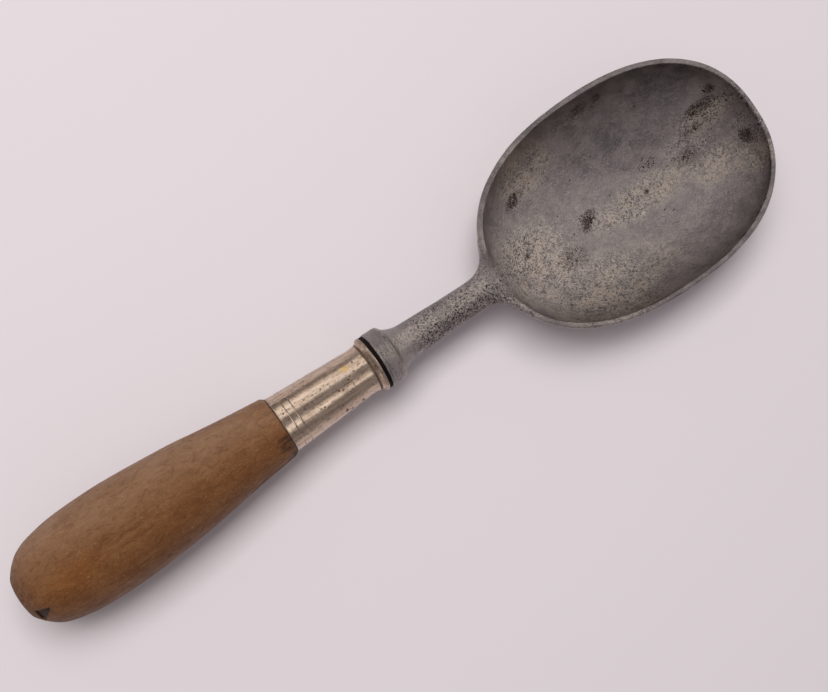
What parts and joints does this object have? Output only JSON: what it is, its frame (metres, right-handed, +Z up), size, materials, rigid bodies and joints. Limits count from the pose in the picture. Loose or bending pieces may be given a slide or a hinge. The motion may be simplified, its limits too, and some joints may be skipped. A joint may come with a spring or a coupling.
{
  "type": "ice cream serving spoon",
  "caption": "Cast aluminium serving spoon with a deep oval bowl, round neck, plated ferrule and a turned wooden handle.",
  "frame": {"origin": "on the surface the spoon lies on, under the middle of its bounding box", "axes": "+X from the butt of the handle to the tip of the bowl, +Z up out of the bowl, Y across"},
  "size_m": [0.28, 0.0748, 0.032],
  "materials": {
    "cast_aluminium": "worn dull grey casting, pitted",
    "black_fibre": "dark compressed fibre",
    "nickel_plate": "worn satin nickel",
    "handle_wood": "worn, dry, turned",
    "tang_steel": "plain"
  },
  "bodies": {
    "root": {"bowl_casting": "cast_aluminium", "washer": "black_fibre", "ferrule": "nickel_plate", "handle": "handle_wood", "tang": "tang_steel"}
  },
  "joints": []
}
